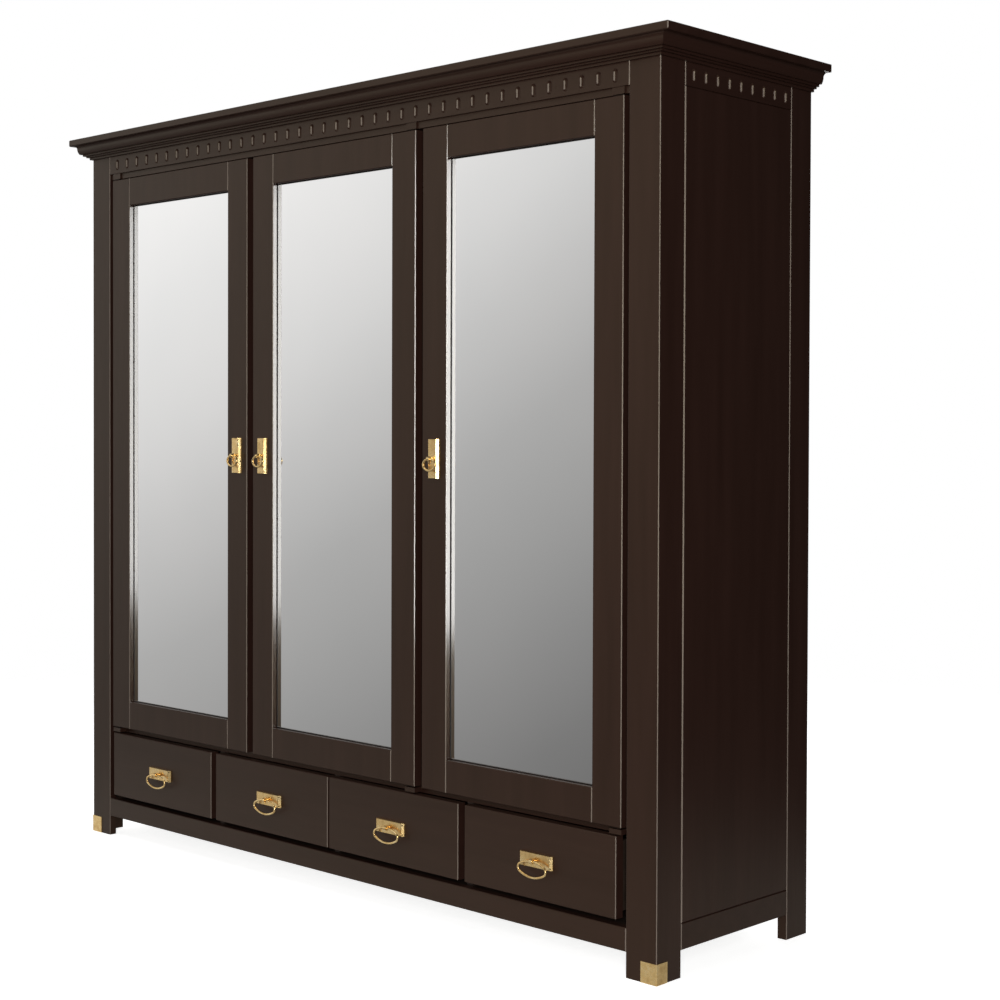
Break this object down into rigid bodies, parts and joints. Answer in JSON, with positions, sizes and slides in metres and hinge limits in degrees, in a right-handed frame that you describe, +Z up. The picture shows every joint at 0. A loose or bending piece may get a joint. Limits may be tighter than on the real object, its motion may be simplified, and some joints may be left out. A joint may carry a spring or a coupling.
{
  "type": "armoire",
  "caption": "Wide wardrobe with hinged mirrored doors over sliding drawers, fluted frieze, moulded cornice and ring pulls.",
  "frame": {"origin": "middle of the plan outline, on the floor", "axes": "+X to the right as seen from the front, +Y from the front to the back, +Z up"},
  "size_m": [2.2, 0.6, 2],
  "materials": {
    "dark_lacquer": "near-black brown semi-gloss lacquer over wood",
    "inner_wood": "satin dark stained wood",
    "runner_wood": "bare waxed hardwood",
    "mirror_glass": "silvered plate glass",
    "brass": "brushed antique brass",
    "rail_steel": "satin steel",
    "hinge_metal": "blackened metal"
  },
  "bodies": {
    "carcass": {"front_post_left": "dark_lacquer", "front_post_right": "dark_lacquer", "rear_stiles": "dark_lacquer", "side_panel_left": "dark_lacquer", "side_panel_right": "dark_lacquer", "side_frieze_left": "dark_lacquer", "side_frieze_right": "dark_lacquer", "side_and_rear_rails": "dark_lacquer", "front_frieze": "dark_lacquer", "front_bottom_rail": "dark_lacquer", "cornice_front": "dark_lacquer", "cornice_left": "dark_lacquer", "cornice_right": "dark_lacquer", "top_cap": "dark_lacquer", "top_board": "dark_lacquer", "middle_board": "dark_lacquer", "bottom_board": "inner_wood", "back_panel": "inner_wood", "partitions": "inner_wood", "door_stop_strips": "dark_lacquer", "drawer_dividers": "inner_wood", "drawer_runners": "runner_wood", "shelves": "inner_wood", "hanging_rails": "rail_steel", "brass_shoes": "brass", "pivot_blocks": "dark_lacquer"},
    "door_left": {"door_left_frame": "dark_lacquer", "door_left_mirror": "mirror_glass", "door_left_back_board": "inner_wood", "door_left_pivot_pins": "hinge_metal", "door_left_pull_plate": "brass"},
    "ring_door_left": {"door_left_ring": "brass"},
    "door_middle": {"door_middle_frame": "dark_lacquer", "door_middle_mirror": "mirror_glass", "door_middle_back_board": "inner_wood", "door_middle_pivot_pins": "hinge_metal", "door_middle_pull_plate": "brass"},
    "ring_door_middle": {"door_middle_ring": "brass"},
    "door_right": {"door_right_frame": "dark_lacquer", "door_right_mirror": "mirror_glass", "door_right_back_board": "inner_wood", "door_right_pivot_pins": "hinge_metal", "door_right_pull_plate": "brass"},
    "ring_door_right": {"door_right_ring": "brass"},
    "drawer_1": {"drawer_1_front": "dark_lacquer", "drawer_1_box": "inner_wood", "drawer_1_pull_plate": "brass"},
    "ring_drawer_1": {"drawer_1_ring": "brass"},
    "drawer_2": {"drawer_2_front": "dark_lacquer", "drawer_2_box": "inner_wood", "drawer_2_pull_plate": "brass"},
    "ring_drawer_2": {"drawer_2_ring": "brass"},
    "drawer_3": {"drawer_3_front": "dark_lacquer", "drawer_3_box": "inner_wood", "drawer_3_pull_plate": "brass"},
    "ring_drawer_3": {"drawer_3_ring": "brass"},
    "drawer_4": {"drawer_4_front": "dark_lacquer", "drawer_4_box": "inner_wood", "drawer_4_pull_plate": "brass"},
    "ring_drawer_4": {"drawer_4_ring": "brass"}
  },
  "joints": [
    {"name": "door_left_hinge", "type": "hinge", "parent": "carcass", "child": "door_left", "pos_m": [-0.929, -0.242, 1.095], "axis": [0, 0, -1], "range_deg": [0, 110]},
    {"name": "door_left_ring_swing", "type": "hinge", "parent": "door_left", "child": "ring_door_left", "pos_m": [-0.373, -0.271, 1.097], "axis": [-1, 0, 0], "range_deg": [0, 95]},
    {"name": "door_middle_hinge", "type": "hinge", "parent": "carcass", "child": "door_middle", "pos_m": [0.29, -0.242, 1.095], "axis": [0, 0, 1], "range_deg": [0, 95]},
    {"name": "door_middle_ring_swing", "type": "hinge", "parent": "door_middle", "child": "ring_door_middle", "pos_m": [-0.266, -0.271, 1.097], "axis": [-1, 0, 0], "range_deg": [0, 95]},
    {"name": "door_right_hinge", "type": "hinge", "parent": "carcass", "child": "door_right", "pos_m": [0.929, -0.242, 1.095], "axis": [0, 0, 1], "range_deg": [0, 110]},
    {"name": "door_right_ring_swing", "type": "hinge", "parent": "door_right", "child": "ring_door_right", "pos_m": [0.373, -0.271, 1.097], "axis": [-1, 0, 0], "range_deg": [0, 95]},
    {"name": "drawer_1_slide", "type": "slide", "parent": "carcass", "child": "drawer_1", "axis": [0, -1, 0], "range_m": [0, 0.36]},
    {"name": "drawer_1_ring_swing", "type": "hinge", "parent": "drawer_1", "child": "ring_drawer_1", "pos_m": [-0.708, -0.275, 0.209], "axis": [-1, 0, 0], "range_deg": [0, 95]},
    {"name": "drawer_2_slide", "type": "slide", "parent": "carcass", "child": "drawer_2", "axis": [0, -1, 0], "range_m": [0, 0.36]},
    {"name": "drawer_2_ring_swing", "type": "hinge", "parent": "drawer_2", "child": "ring_drawer_2", "pos_m": [-0.231, -0.275, 0.209], "axis": [-1, 0, 0], "range_deg": [0, 95]},
    {"name": "drawer_3_slide", "type": "slide", "parent": "carcass", "child": "drawer_3", "axis": [0, -1, 0], "range_m": [0, 0.36]},
    {"name": "drawer_3_ring_swing", "type": "hinge", "parent": "drawer_3", "child": "ring_drawer_3", "pos_m": [0.231, -0.275, 0.209], "axis": [-1, 0, 0], "range_deg": [0, 95]},
    {"name": "drawer_4_slide", "type": "slide", "parent": "carcass", "child": "drawer_4", "axis": [0, -1, 0], "range_m": [0, 0.36]},
    {"name": "drawer_4_ring_swing", "type": "hinge", "parent": "drawer_4", "child": "ring_drawer_4", "pos_m": [0.708, -0.275, 0.209], "axis": [-1, 0, 0], "range_deg": [0, 95]}
  ]
}
